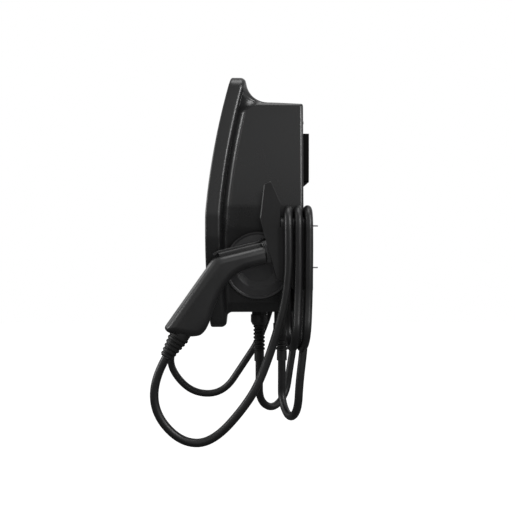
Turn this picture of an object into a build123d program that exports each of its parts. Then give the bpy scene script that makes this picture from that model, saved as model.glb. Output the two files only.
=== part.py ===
"""Dual-connector electric vehicle wallbox with two holsters, hooks and charging cables.

Millimetres. The origin lies on the wall, at the centre of the wall bracket. +Z is up, the
front faces -Y, and the right-hand side, as seen by someone in front of it, is +X.
"""

import os
from math import atan2, cos, degrees, hypot, pi, radians, sin, tan

from build123d import *

os.makedirs("parts", exist_ok=True)

# General
overrun = 5.0
seat_gap = 0.3
hole_play = 0.3
far_off = 400.0
corner_share = 0.45
sides = {"right": 1, "left": -1}

# Front cover and rim, as seen from the front
rim_top = 171.0
rim_height = 538.0
rim_width_top = 210.0
rim_width_belt = 250.0
rim_width_bottom = 216.0
rim_corner_top = 30.0
rim_corner_bottom = 20.0
belt_top = -125.0
belt_height = 48.0
belt_softness = 110.0

# Front cover, as seen from the side
unit_depth = 224.3
brow_rake = 55.3
brow_bow = 7.5
chin_rake = 11.6
brow_softness = 260.0
cover_wall = 3.0
skirt_depth = 22.0
rim_depth = 36.0
rim_front_round = 5.0
rim_back_round = 12.0

# Rear housing
wall_gap = 13.4
body_top = 119.0
body_top_fall = 4.5
body_bottom = -336.0
body_width_top = 176.0
body_width_belt = 200.0
body_width_keel = 178.0
body_width_bottom = 154.0
keel_height = 22.0
body_belt_top = -106.0
housing_wall = 3.0
top_cove = 48.0
top_cove_rise = 37.0
top_cove_run = 46.0
side_cove_most = 12.5
side_cove_share = 0.75
body_corner_round = 12.0
body_back_round = 8.0

# Gasket between cover and housing
gasket_width = 4.0
gasket_height = 3.0

# Round dish in each side, with the holster's base in it
dish_y = -111.0
dish_z = -234.0
dish_radius = 76.0
dish_depth = 3.0
base_radius = 72.0
base_radius_shares = [1, 1, 0.955, 0.93, 0.72, 0.68, 0.64, 0.5]
base_height_shares = [0, 0.62, 0.62, 0.5, 1, 1, 0.86, 0.5]
base_height = 8.0
base_screw_share = 0.7
base_screw_angles = [90, 210, 330]
base_screw_bite = 5.0

# Connector shell, seen from the side: its front face is at zero, and the shares are of its reach
connector_x = 130.5
nose_rise = 13.4
nose_turn = 12.0
nose_y = -105.0
nose_z = -205.7
shell_reach = 240.0
shell_width = 51.0
shell_wall = 2.6
shell_round = 15.0
shell_parting = 0.15
shell_back_shares = [(0, 0.058), (-0.385, 0.058), (-0.43, 0.045), (-0.995, -0.444)]
shell_tail_shares = [(-0.777, -0.55), (-0.698, -0.559)]
shell_front_shares = [
    (-0.645, -0.527), (-0.595, -0.467), (-0.549, -0.388), (-0.495, -0.31), (-0.408, -0.214),
    (-0.32, -0.142), (-0.2, -0.105), (0, -0.105),
]
post_shares = [(-0.3, -0.03), (-0.53, -0.2), (-0.77, -0.43)]
post_radius = 4.0
shell_screw_radius = 1.4
shell_screw_head = 2.8

# Connector spine and latch lever
spine_width = 26.0
spine_length = 92.0
spine_height = 7.0
spine_round = 3.0
lever_width = 13.0
lever_gap = 0.6
lever_top = 25.3
lever_thickness = 4.5
lever_tail = 96.0
lever_tail_drop = 3.5
lever_reach = 27.0
lever_rise = 4.2
lever_pivot = 34.0
lever_hook_length = 7.0
lever_hook_drop = 4.6
lever_pin_radius = 1.5
lever_round = 1.2
spring_radius = 2.4
spring_wire = 0.45
spring_turns = 4
spring_place = 78.0

# Connector nose and contacts
nose_radius = 21.9
nose_length = 34.0
nose_wall = 2.8
nose_stem_radius = 18.0
nose_stem_length = 18.0
nose_core_radius = 16.0
nose_core_sink = 3.0
carrier_play = 0.15
collar_radius = 24.0
collar_length = 3.0
power_pin_radius = 3.4
signal_pin_radius = 2.0
pin_ring = 9.0
pin_sink = 2.0
power_pin_angles = [35, 145, 270]
signal_pin_angles = [195, 345]

# Bend relief on the connector's tail
boot_start_shares = (-0.865, -0.52)
boot_end_shares = (-1.021, -0.67)
boot_radius = 21.5
boot_end_radius = 14.0
boot_rib = 1.6
boot_ribs = 6
boot_rib_shares = (1, 0, 0.25, 1.5)
boot_pitch_shares = (0.1, 0.25, 0.7, 0.85)
boot_root = 10.0

# Charging cable
cable_diameter = 17.5
cable_socket = 18.0
boot_socket = 15.0

# Holster cup
cup_wall = 2.4
cup_clearance = 0.8
cup_slot = 20.0

# Cable hook with the kite-shaped guard, fixed to the wall
hook_x = 141.0
saddle_radius = 19.5
saddle_top = -133.0
saddle_front = -66.5
plate_thickness = 4.5
hook_foot = -282.5
hook_inner_leg = 40.0
flange_thickness = 4.0
guard_tip_y = -87.0
guard_tip_z = -57.5
guard_cheek_y = -101.4
guard_cheek_z = -64.6
guard_nose_y = -109.7
guard_nose_z = -134.5
guard_heel_y = -76.8
guard_heel_z = -259.9
guard_neck_z = -103.7
guard_chamfer = 1.8
guard_round = 4.0
wall_screw_radius = 2.5
wall_screw_end_radius = 1.5
wall_screw_high = -150.0
wall_screw_spacing = 87.0
wall_screw_reach = 12.0
wall_screw_head = 5.0

# Glands and bend reliefs under the housing: place, then lengths and radii
gland_x = 30.0
gland_y = {"left": -105.0, "right": -56.0}
gland_collar_length = {"left": 16.0, "right": 30.0}
gland_nut_length = {"left": 24.0, "right": 37.0}
gland_bellows_length = {"left": 61.0, "right": 25.0}
gland_tail_length = {"left": 23.0, "right": 21.0}
gland_ribs_left = 7
gland_ribs_right = 3
gland_nut_radius = 19.5
gland_nut_end = 15.5
bellows_radius = 13.4
bellows_shares = (0.2, 0.6, 0.8, 1)
bellows_valley = 10.8
sleeve_radius = 11.4
gland_bore = 9.1
gland_thread_radius = 16.0
locknut_radius = 20.0
locknut_thickness = 6.0

# Inner parts
boss_radius = 5.0
boss_height = 9.0
chassis_width = 150.0
chassis_height = 330.0
chassis_top = 90.0
chassis_thickness = 2.0
chassis_inset = 12.0
screw_radius = 2.0
screw_head_radius = 4.0
screw_head_height = 2.4
board_thickness = 1.6
board_width = 124.0
board_height = 190.0
board_top = 74.0
spacer_height = 8.0
spacer_radius = 3.5
contactor_width = 46.0
contactor_height = 58.0
contactor_depth = 44.0
contactor_pole_shares = (-0.3, 0, 0.3)
contactor_x = 34.0
contactor_z = -40.0
supply_width = 90.0
supply_height = 44.0
supply_depth = 30.0
supply_z = 45.0
sensor_radius = 17.0
sensor_bore = 9.0
sensor_depth = 16.0
sensor_z = -92.0
terminal_width = 96.0
terminal_height = 32.0
terminal_depth = 28.0
terminal_z = -165.0
terminal_ways = 8
terminal_way_radius = 3.0

# Front window, its board and the status light
window_width = 96.0
window_height = 62.0
window_z = 60.0
window_lip = 4.0
window_sink = 0.3
window_thickness = 1.5
display_depth = 6.0
light_width = 70.0
light_height = 5.0
light_z = 6.0

# Cover screws: two go up through the cover's skirt and two go down, into tongues of the housing
cover_screw_x = 62.0
tongue_width = 16.0
tongue_reach = 15.0
tongue_height = 11.0

# Supply entry and wall bracket
entry_z = -280.0
entry_radius = 12.0
entry_bore = 10.0
entry_lip_width = 3.0
entry_lip = 2.5
bracket_width = 150.0
bracket_height = 106.0
bracket_sheet = 2.5
bracket_round = 4.0
bracket_hole_radius = 3.25
bracket_spacing_x = 110.0
bracket_spacing_z = 70.0
tab_width = 24.0
tab_x = 42.0
tab_lip = 6.0
tab_gap = 0.8

# Derived places
gland_ribs = {"left": gland_ribs_left, "right": gland_ribs_right}
belt_bottom = belt_top - belt_height
rim_bottom = rim_top - rim_height
front_y = -unit_depth
brow_height = rim_top - belt_top
chin_height = belt_bottom - rim_bottom + overrun
body_back = -wall_gap
body_keel = body_bottom + keel_height
body_belt_bottom = body_belt_top - belt_height
inner_back = body_back - housing_wall
step_at_top = (rim_width_top - body_width_top) / 2
step_at_belt = (rim_width_belt - body_width_belt) / 2
side_cove = min(side_cove_most, side_cove_share * min(step_at_top, step_at_belt))
chassis_back = inner_back - boss_height
board_back = chassis_back - chassis_thickness - spacer_height
cable_radius = cable_diameter / 2

# Routes of the two charging cables, from the gland to the connector
right_route = [
    (30, -56, -431), (30, -56, -487), (31, -56.5, -542), (78, -42.5, -571),
    (126, -28, -542), (127, -25, -480), (121, -15, -405), (114, -11, -325),
    (111, -9.5, -255), (112, -10, -185), (112, -10, -128.3), (141, -10, -111.5),
    (170, -10, -128.3), (171, -9.5, -185), (173, -10, -250), (172, -11, -310),
    (190, -16, -382), (138, -22, -413), (86, -26, -382), (106, -28, -300),
    (111, -29.5, -235), (112, -29, -180), (112, -29.5, -128.3), (141, -30.5, -111.5),
    (170, -31, -128.3), (171, -31.5, -182), (172, -31, -250), (173, -33, -312),
    (190, -37, -382), (138, -42, -413), (86, -46, -382), (106, -48, -300),
    (111, -49.5, -235), (112, -49, -180), (112, -49.5, -128.3), (141, -51, -111.5),
    (170, -52, -128.3), (171, -51.5, -182), (170, -51, -242), (171, -61, -322),
    (176, -97.5, -437.5), (184, -130.5, -506.5), (183, -206, -592), (182, -271, -592),
    (181, -326, -530), (177, -324.1, -454.4), (170.7, -293.9, -406.5),
]
left_route = [
    (-30, -105, -442), (-30, -105, -498), (-31, -104.5, -555), (-66, -71, -583),
    (-102, -37, -555), (-106, -28, -495), (-110, -17, -430), (-112, -11, -350),
    (-111, -9.5, -270), (-112, -10, -190), (-112, -10, -128.3), (-141, -10, -111.5),
    (-170, -10, -128.3), (-171, -9.5, -185), (-173, -10, -250), (-172, -11, -310),
    (-190, -16, -376), (-138, -22, -407), (-86, -26, -376), (-106, -28, -296),
    (-111, -29.5, -235), (-112, -29, -180), (-112, -29.5, -128.3), (-141, -30.5, -111.5),
    (-170, -31, -128.3), (-171, -31.5, -182), (-172, -31, -250), (-173, -33, -312),
    (-190, -37, -376), (-138, -42, -407), (-86, -46, -376), (-106, -48, -296),
    (-111, -49.5, -235), (-112, -49, -180), (-112, -49.5, -128.3), (-141, -51, -111.5),
    (-170, -52, -128.3), (-171, -51.5, -185), (-170, -52, -246), (-171, -62, -318),
    (-174, -96, -424), (-178, -139, -490), (-180, -191, -568), (-181, -270, -568),
    (-181, -325, -508), (-177, -324.1, -454.4), (-170.7, -293.9, -406.5),
]
routes = {"right": right_route, "left": left_route}


def save(name, shape):
    """Writes one node's solids."""
    solids = shape.solids()
    whole = solids[0] if len(solids) == 1 else Compound(children=list(solids))
    export_step(whole, f"parts/{name}.step")
    print(name, len(solids), round(sum(s.volume for s in solids)))


def along_y(face, back, front):
    """Carries a face drawn as seen from the front from one depth to another."""
    return Pos(0, back, 0) * extrude(Plane.XZ * face, amount=back - front)


def along_x(face, low, high):
    """Carries a face drawn as seen from the right from one X to another."""
    return Pos(low, 0, 0) * extrude(Plane.YZ * face, amount=high - low)


def block(x, y, z, width, depth, height):
    """A box centred at x and z, whose back is at y and whose depth goes forward."""
    return Pos(x, y - depth / 2, z) * Box(width, depth, height)


def rod(x, z, radius, back, front):
    """A round bar along Y."""
    return along_y(Pos(x, z) * Circle(radius), back, front)


def slab(near, far):
    """The space between two copies of the bowed front, moved back by two depths."""

    def curve(depth):
        brow_end = (front_y + depth, belt_top)
        chin_end = (front_y + depth, belt_bottom)
        brow_start = (front_y + brow_rake + depth, belt_top + brow_height)
        brow = SagittaArc(brow_start, brow_end, -brow_bow)
        foot = (front_y + chin_rake + depth, belt_bottom - chin_height)
        chin = TangentArc(chin_end, foot, tangent=(0, -1))
        above = Line(brow @ 0 - overrun * (brow % 0), brow @ 0)
        return above, brow, Line(brow_end, chin_end), chin

    front, back = curve(near), curve(far)
    top = Line(front[0] @ 0, back[0] @ 0)
    bottom = Line(front[-1] @ 1, back[-1] @ 1)
    face = make_face([*front, *back, top, bottom])
    bends = [v for v in face.vertices() if abs(v.Y - belt_top) < seat_gap]
    return along_x(fillet(bends, brow_softness), -rim_width_belt, rim_width_belt)


def rounded_outline(points, top_round, bottom_round, inset):
    """An outline mirrored from its right half, inset, with rounded corners and a soft belt."""
    face = make_face(Polyline(*points, *[(-x, z) for x, z in reversed(points)], close=True))
    if inset:
        face = offset(face, -inset, kind=Kind.INTERSECTION)
    heights = [z for x, z in points[1:3]]
    reach = (heights[0] - heights[1]) / 4
    belt = [v for v in face.vertices() if min(abs(v.Y - z) for z in heights) < reach]
    face = fillet(belt, belt_softness)
    top = sorted(face.vertices(), key=lambda v: v.Y)[-2:]
    face = fillet(top, max(top_round - inset, seat_gap))
    if bottom_round:
        bottom = sorted(face.vertices(), key=lambda v: v.Y)[:2]
        face = fillet(bottom, max(bottom_round - inset, seat_gap))
    return face


def rim_face(inset=0):
    """The rim's outline as seen from the front."""
    points = [
        (rim_width_top / 2, rim_top),
        (rim_width_belt / 2, belt_top),
        (rim_width_belt / 2, belt_bottom),
        (rim_width_bottom / 2, rim_bottom),
    ]
    return rounded_outline(points, rim_corner_top, rim_corner_bottom, inset)


def body_face(inset=0):
    """The rear housing's outline as seen from the front, with its keel."""
    points = [
        (body_width_top / 2, body_top),
        (body_width_belt / 2, body_belt_top),
        (body_width_belt / 2, body_belt_bottom),
        (body_width_keel / 2, body_keel),
        (body_width_bottom / 2, body_bottom),
    ]
    return rounded_outline(points, body_corner_round, 0, inset)


def half_rim(z):
    """Half the rim's width at a height."""
    if z > belt_top:
        share = (z - belt_top) / (rim_top - belt_top)
        return (rim_width_belt + (rim_width_top - rim_width_belt) * share) / 2
    share = max(belt_bottom - z, 0) / (belt_bottom - rim_bottom)
    return (rim_width_belt + (rim_width_bottom - rim_width_belt) * share) / 2


def depth_of(point):
    """How far behind the bowed front a point of a side view lies, near enough to sort edges."""
    if point.Z > belt_top:
        rake = brow_rake * (point.Z - belt_top) / brow_height
    else:
        rake = chin_rake * max(belt_bottom - point.Z, 0) / chin_height
    return point.Y - front_y - rake


def edges_at_depth(shape, depth):
    """The edges that lie on the copy of the front which is moved back by a depth."""
    reach = brow_bow + seat_gap
    return [
        e for e in shape.edges() if all(abs(depth_of(e @ t) - depth) < reach for t in (0, 0.5, 1))
    ]


def make_cover():
    """The bowed front shell: an outer block less an inner one, with its window and light."""
    far = front_y - overrun
    outer = slab(0, skirt_depth) & along_y(rim_face(), 0, far)
    outer = fillet(edges_at_depth(outer, 0), rim_front_round)
    inner = slab(cover_wall, rim_depth) & along_y(rim_face(cover_wall), 0, far)
    cover = outer - inner
    pocket = block(0, body_back, window_z, window_width, unit_depth, window_height)
    hole_width = window_width - 2 * window_lip
    hole_height = window_height - 2 * window_lip
    hole = block(0, body_back, window_z, hole_width, unit_depth, hole_height)
    light = block(0, body_back, light_z, light_width, unit_depth, light_height)
    sunk = slab(-overrun, window_sink + window_thickness) & pocket
    cover = cover - sunk - hole - light
    for x, y, z, way in cover_screw_spots():
        cover -= upright(x, y, z, screw_radius + hole_play, 2 * cover_wall, way)
        cover -= sunk_head(x, y, z, way, hole_play)
    return cover


def sunk_head(x, y, z, way, play):
    """A countersunk head, level with the skirt, or the room for it."""
    wide, narrow = screw_head_radius + play, screw_radius + play
    low, high = (wide, narrow) if way > 0 else (narrow, wide)
    return Pos(x, y, z + way * screw_head_height / 2) * Cone(low, high, screw_head_height)


def upright(x, y, z, radius, length, way):
    """A round bar along Z from a point, upward where way is 1 and downward where it is -1."""
    return Pos(x, y, z + way * length / 2) * Cylinder(radius, length)


def front_at(z):
    """Where the bowed front lies at a height."""
    if z > belt_top:
        share = (z - belt_top) / brow_height
        return front_y + brow_rake * share - 4 * brow_bow * share * (1 - share)
    share = max(belt_bottom - z, 0) / chin_height
    return front_y + chin_rake * share**2


def cover_screw_spots():
    """Where the cover's screws enter: X, Y, Z and the way they point."""
    spots = []
    for z, way in ((rim_top, -1), (rim_bottom, 1)):
        y = front_at(z) + skirt_depth - tongue_reach / 2
        spots += [(side * cover_screw_x, y, z, way) for side in sides.values()]
    return spots


def make_cover_screws():
    """Countersunk screws through the skirt."""
    screws = []
    for x, y, z, way in cover_screw_spots():
        length = cover_wall + tongue_height - screw_radius
        screws.append(sunk_head(x, y, z, way, 0) + upright(x, y, z, screw_radius, length, way))
    return Compound(children=screws)


def make_housing():
    """The rear tub: body, rim flange and coves, then cavity, dishes, bosses and holes."""
    far = front_y - overrun
    body = along_y(body_face(), body_back, far)
    back = [e for e in body.edges() if all(abs((e @ t).Y - body_back) < seat_gap for t in (0, 1))]
    body = fillet(back, body_back_round)
    flange = slab(skirt_depth, rim_depth) & along_y(rim_face(), 0, far)
    form = body + flange - slab(-unit_depth, skirt_depth)
    inside = [
        e
        for e in edges_at_depth(form, rim_depth)
        if abs((e @ 0.5).X) < half_rim((e @ 0.5).Z) - side_cove
        and body_bottom - seat_gap < (e @ 0.5).Z < body_top + seat_gap
    ]
    form = fillet(inside, side_cove)
    thick = slab(skirt_depth / 2, rim_depth) & along_y(rim_face(), 0, far)
    form -= thick - fillet(edges_at_depth(thick, rim_depth), rim_back_round)
    form += make_brow_cove()
    form -= make_top_slope()
    cavity = along_y(body_face(housing_wall), inner_back, far)
    for side in sides.values():
        plane = dish_plane(side)
        pad = plane * Pos(0, 0, -dish_depth) * Cylinder(dish_radius + housing_wall, 2 * housing_wall)
        cavity -= pad
    form -= cavity
    form -= make_top_slope()
    for side in sides.values():
        recess = dish_plane(side) * Pos(0, 0, (side_cove - dish_depth) / 2)
        form -= recess * Cylinder(dish_radius, side_cove + dish_depth)
        for x, y in base_screw_spots():
            place = dish_plane(side) * Pos(x, side * y, -dish_depth)
            form -= place * Cylinder(screw_radius + hole_play, 4 * housing_wall)
    for x, z in plate_screw_spots():
        form += rod(x, z, boss_radius, inner_back + housing_wall / 2, chassis_back)
    for x, z in plate_screw_spots():
        form -= rod(x, z, screw_radius, 0, far)
    for x, y, z, way in cover_screw_spots():
        height = tongue_height
        centre = z + way * (cover_wall + lever_gap + height / 2)
        depth = tongue_reach + rim_depth / 4
        back_y = front_at(z) + skirt_depth + rim_depth / 4
        form += block(x, back_y, centre, tongue_width, depth, height)
        form -= upright(x, y, z, screw_radius, cover_wall + height - screw_radius, way)
    form -= rod(0, entry_z, entry_radius, 0, inner_back - overrun)
    for x in (-tab_x, tab_x):
        slot_height = bracket_sheet + tab_lip + 2 * tab_gap
        low = bracket_height / 2 - bracket_sheet - tab_gap
        slot_width = tab_width + 2 * tab_gap
        form -= block(x, 0, low + slot_height / 2, slot_width, overrun - inner_back, slot_height)
    for name, side in sides.items():
        place = Pos(side * gland_x, gland_y[name], body_bottom)
        form -= place * Cylinder(gland_thread_radius, 4 * housing_wall)
    return form


def make_brow_cove():
    """The large cove between the housing's top and the rim, as a bar with rounded ends."""
    tip_z = body_top + top_cove_rise
    tip_y = front_at(tip_z) + rim_depth
    sunk_y = tip_y - rim_depth / 4
    low = body_top - housing_wall
    end = (tip_y + top_cove_run, body_top)
    lines = [
        Line((sunk_y, low), (end[0], low)),
        Line((end[0], low), end),
        RadiusArc(end, (tip_y, tip_z), top_cove),
        Line((tip_y, tip_z), (sunk_y, tip_z)),
        Line((sunk_y, tip_z), (sunk_y, low)),
    ]
    half = body_width_top / 2 - body_corner_round + housing_wall
    bar = along_x(make_face(lines), -half, half)
    return bar


def make_top_slope():
    """The wedge that makes the housing's top fall towards the wall."""
    start = front_at(body_top + top_cove_rise) + rim_depth + top_cove_run
    high = body_top + overrun
    corners = [
        (start, body_top),
        (body_back + overrun, body_top - body_top_fall),
        (body_back + overrun, high),
        (start, high),
    ]
    return along_x(make_face(Polyline(*corners, close=True)), -rim_width_belt, rim_width_belt)


def make_gasket():
    """A flat ring on the flange, inside the cover's skirt."""
    far = front_y - overrun
    outside = rim_corner_bottom - seat_gap
    ring = along_y(rim_face(outside - gasket_width / 2), 0, far)
    ring -= along_y(rim_face(outside + gasket_width / 2), overrun, far - overrun)
    return slab(skirt_depth - gasket_height, skirt_depth) & ring


def side_at(z):
    """Half the housing's width below the belt, at a height."""
    share = (body_belt_bottom - z) / (body_belt_bottom - body_keel)
    return (body_width_belt + (body_width_keel - body_width_belt) * share) / 2


def dish_plane(side):
    """The housing's side face at the dish's centre, looking outward."""
    lean = (body_width_belt - body_width_keel) / 2 / (body_belt_bottom - body_keel)
    origin = (side * side_at(dish_z), dish_y, dish_z)
    return Plane(origin=origin, x_dir=(0, 1, 0), z_dir=(side, 0, -lean))


def plate_screw_spots():
    """Where the chassis plate is screwed, from behind: X and Z."""
    x = chassis_width / 2 - chassis_inset
    high = chassis_top - chassis_inset
    low = chassis_top - chassis_height + chassis_inset
    return [(side * x, z) for side in (-1, 1) for z in (high, low)]


def make_chassis():
    """A steel plate on the housing's bosses."""
    centre = chassis_top - chassis_height / 2
    plate = block(0, chassis_back, centre, chassis_width, chassis_thickness, chassis_height)
    for x, z in plate_screw_spots() + spacer_spots():
        plate -= rod(x, z, screw_radius, 0, front_y)
    return plate


def make_plate_screws():
    """Screws that come through the housing's back into the plate."""
    screws = []
    for x, z in plate_screw_spots():
        head = rod(x, z, screw_head_radius, body_back + screw_head_height, body_back)
        head = chamfer(head.edges().group_by(Axis.Y)[-1], screw_head_height / 4)
        screws.append(head + rod(x, z, screw_radius, body_back, chassis_back - chassis_thickness))
    return Compound(children=screws)


def spacer_spots():
    """The board's four corners: X and Z."""
    x = board_width / 2 - 2 * spacer_radius
    high = board_top - 2 * spacer_radius
    low = board_top - board_height + 2 * spacer_radius
    return [(side * x, z) for side in (-1, 1) for z in (high, low)]


def make_spacers():
    """Hexagonal spacers between plate and board."""
    bars = []
    for x, z in spacer_spots():
        hexagon = RegularPolygon(spacer_radius, 6) - Circle(screw_radius)
        bars.append(along_y(Pos(x, z) * hexagon, chassis_back - chassis_thickness, board_back))
    return Compound(children=bars)


def make_board():
    """The main board."""
    centre = board_top - board_height / 2
    board = block(0, board_back, centre, board_width, board_thickness, board_height)
    for x, z in spacer_spots():
        board -= rod(x, z, screw_radius, 0, front_y)
    return board


def make_board_screws():
    """Screws through the board into the spacers."""
    screws = []
    face = board_back - board_thickness
    for x, z in spacer_spots():
        head = rod(x, z, spacer_radius, face, face - screw_head_height)
        screws.append(head + rod(x, z, screw_radius, board_back + spacer_height / 2, face))
    return Compound(children=screws)


def make_contactor(side):
    """A relay block with stepped terminals."""
    face = board_back - board_thickness
    x = side * contactor_x
    body = block(x, face, contactor_z, contactor_width, contactor_depth, contactor_height)
    step = contactor_height / 5
    sink = face - contactor_depth / 3
    for z in (contactor_z - contactor_height / 2, contactor_z + contactor_height / 2):
        body -= block(x, face - contactor_depth / 2, z, 2 * contactor_width, contactor_depth, 2 * step)
        for share in contactor_pole_shares:
            body -= rod(x + share * contactor_width, z, screw_head_radius, sink, far_off)
    return chamfer(body.edges().group_by(Axis.Y)[0], housing_wall / 3)


def evenly(count, width):
    """The middles of equal fields that fill a width about zero."""
    field = width / count
    return [field * i - (width - field) / 2 for i in range(count)]


def make_supply():
    """The power supply: a potted block with cooling slots."""
    face = board_back - board_thickness
    body = block(0, face, supply_z, supply_width, supply_depth, supply_height)
    body = fillet(body.edges().filter_by(Axis.Y), housing_wall)
    slots = int(supply_width // (4 * housing_wall))
    sink = face - supply_depth + housing_wall
    for x in evenly(slots, supply_width):
        body -= block(x, sink, supply_z, housing_wall, supply_depth, supply_height / 2)
    return body


def make_sensor():
    """A current sensing ring on its foot."""
    face = board_back - board_thickness
    y = face - sensor_radius
    place = Pos(0, y, sensor_z)
    bore = place * Cylinder(sensor_bore, sensor_depth)
    ring = place * Cylinder(sensor_radius, sensor_depth) - bore
    foot = block(0, face, sensor_z, 2 * sensor_bore, sensor_radius - sensor_bore, sensor_depth)
    return ring + (foot - bore)


def make_terminals():
    """The supply terminals, in a row."""
    face = chassis_back - chassis_thickness
    body = block(0, face, terminal_z, terminal_width, terminal_depth, terminal_height)
    wire_y = face - terminal_depth / 3
    wire_z = terminal_z - terminal_height / 2
    for x in evenly(terminal_ways, terminal_width):
        body -= rod(x, terminal_z, terminal_way_radius, face - terminal_depth / 2, front_y)
        body -= upright(x, wire_y, wire_z, terminal_way_radius, terminal_height / 3, 1)
    return body


def make_window():
    """The dark window, which follows the cover's bow."""
    width = window_width - 2 * shell_parting
    pane = block(0, body_back, window_z, width, unit_depth, window_height - 2 * shell_parting)
    return slab(window_sink, window_sink + window_thickness) & pane


def make_display():
    """The display and card reader behind the window, on the cover's inner face."""
    width = window_width + window_lip
    module = block(0, body_back, window_z, width, unit_depth, window_height + window_lip)
    return slab(cover_wall, cover_wall + display_depth) & module


def make_light():
    """The status light: a bar in the cover's slot, with a flange behind it."""
    width = light_width - 2 * shell_parting
    height = light_height - 2 * shell_parting
    bar = slab(window_sink, 2 * cover_wall) & block(0, body_back, light_z, width, unit_depth, height)
    flange = block(0, body_back, light_z, light_width + 2 * window_lip, unit_depth, 2 * light_height)
    return bar + (slab(cover_wall, 2 * cover_wall) & flange)


def make_grommet():
    """The rubber grommet for the supply cable, in the housing's back."""
    length = housing_wall + 2 * entry_lip
    body = rod(0, entry_z, entry_radius, body_back + entry_lip, body_back + entry_lip - length)
    for back in (body_back + entry_lip, inner_back):
        body += rod(0, entry_z, entry_radius + entry_lip_width, back, back - entry_lip)
    return body - rod(0, entry_z, entry_bore, 0, front_y)


def make_bracket():
    """A folded steel tray on the wall, with two tabs that hook into the housing's back."""
    outline = RectangleRounded(bracket_width, bracket_height, bracket_round)
    inner = offset(outline, -bracket_sheet)
    tray = along_y(outline, 0, body_back) - along_y(inner, -bracket_sheet, body_back - overrun)
    reach = housing_wall + bracket_sheet + 2 * tab_gap
    top = bracket_height / 2
    for x in (-tab_x, tab_x):
        tray += block(x, body_back, top - bracket_sheet / 2, tab_width, reach, bracket_sheet)
        lip_back = body_back - reach + bracket_sheet
        tray += block(x, lip_back, top + tab_lip / 2, tab_width, bracket_sheet, tab_lip)
        for z in (-bracket_spacing_z / 2, bracket_spacing_z / 2):
            tray -= rod(x * bracket_spacing_x / 2 / tab_x, z, bracket_hole_radius, overrun, -wall_gap)
    return tray


def gland_levels(name):
    """The heights of a gland's joints, from the housing down."""
    levels = [body_bottom]
    for lengths in (gland_collar_length, gland_nut_length, gland_bellows_length, gland_tail_length):
        levels.append(levels[-1] - lengths[name])
    return levels


def turned(points):
    """A turned piece from an outline of radii and heights."""
    return revolve(Plane.XZ * make_face(Polyline(*points, close=True)), Axis.Z)


def make_gland(name):
    """One cable gland: threaded body, inner locknut, cap nut and ribbed bend relief."""
    place = Pos(sides[name] * gland_x, gland_y[name], 0)
    top, collar, nut, bellows, tail = gland_levels(name)
    thread_top = top + housing_wall + locknut_thickness + seat_gap
    hexagon = Plane.XY.offset(collar) * RegularPolygon(gland_nut_radius, 6)
    body = extrude(hexagon, amount=top - collar)
    body += Pos(0, 0, (collar + thread_top) / 2) * Cylinder(gland_thread_radius, thread_top - collar)
    body -= Pos(0, 0, (collar + thread_top) / 2) * Cylinder(gland_bore, 2 * (thread_top - collar))
    locknut_face = Plane.XY.offset(top + housing_wall) * RegularPolygon(locknut_radius, 6)
    locknut = extrude(locknut_face, amount=locknut_thickness)
    locknut -= Pos(0, 0, top) * Cylinder(gland_thread_radius, 4 * locknut_radius)
    waist = nut + (collar - nut) / 3
    cap = turned([
        (gland_bore, collar), (gland_nut_radius, collar), (gland_nut_radius, waist),
        (gland_nut_end, nut), (gland_bore, nut),
    ])
    pitch = (nut - bellows) / gland_ribs[name]
    points = [(0, nut), (bellows_valley, nut)]
    radii = (bellows_radius, bellows_radius, bellows_valley, bellows_valley)
    for i in range(gland_ribs[name]):
        high = nut - i * pitch
        points += [(r, high - pitch * share) for r, share in zip(radii, bellows_shares)]
    points += [(sleeve_radius, bellows), (sleeve_radius, tail), (gland_bore, tail)]
    points += [(gland_bore, tail + cable_socket), (0, tail + cable_socket)]
    sleeve = turned(points)
    pieces = {"body": body, "locknut": locknut, "nut": cap, "sleeve": sleeve}
    return {key: place * shape for key, shape in pieces.items()}


def nose_plane():
    """The connector's middle plane: X along the nose, Y across it, Z to the right."""
    rise = radians(nose_rise)
    turn = radians(nose_turn)
    origin = (connector_x, nose_y, nose_z)
    ahead = (-sin(turn) * cos(rise), cos(turn) * cos(rise), sin(rise))
    return Plane(origin=origin, x_dir=ahead, z_dir=(cos(turn), sin(turn), 0))


def slice_x(face, half):
    """Thickens a face of the connector's side view evenly to both sides."""
    return extrude(face, amount=half, both=True)


def shell_points(shares):
    """Turns shares of the shell's reach into points."""
    return [(shell_reach * u, shell_reach * w) for u, w in shares]


def corner_radii(points, sharpest=None):
    """The radius at each corner of a run, as large as the runs allow, with a limit on sharp ones."""
    radii = []
    for before, here, after in zip(points, points[1:], points[2:]):
        run = min((here - before).length, (after - here).length)
        turn = radians((here - before).get_angle(after - here))
        radius = corner_share * run / tan(turn / 2)
        radii.append(min(radius, sharpest) if sharpest and turn >= 1 else radius)
    return radii


def shell_form(inset):
    """The connector shell's rounded form, running on past its front face."""
    back = shell_points(shell_back_shares)
    tail = shell_points(shell_tail_shares)
    front = shell_points(shell_front_shares)
    ahead = 2 * shell_round
    start, end = (ahead, back[0][1]), (ahead, front[-1][1])
    points = [Vector(*p) for p in (start, *back[1:], *tail, *front[:-1], end)]
    curve = FilletPolyline(*points, radius=corner_radii(points, shell_round / 2))
    face = make_face([curve, Line(end, start)])
    if inset:
        face = offset(face, -inset, kind=Kind.INTERSECTION)
    solid = slice_x(face, shell_width / 2 - inset)
    rims = [e for e in solid.edges() if abs(abs(e.center().Z) - shell_width / 2 + inset) < seat_gap]
    return fillet(rims, shell_round - inset)


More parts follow.
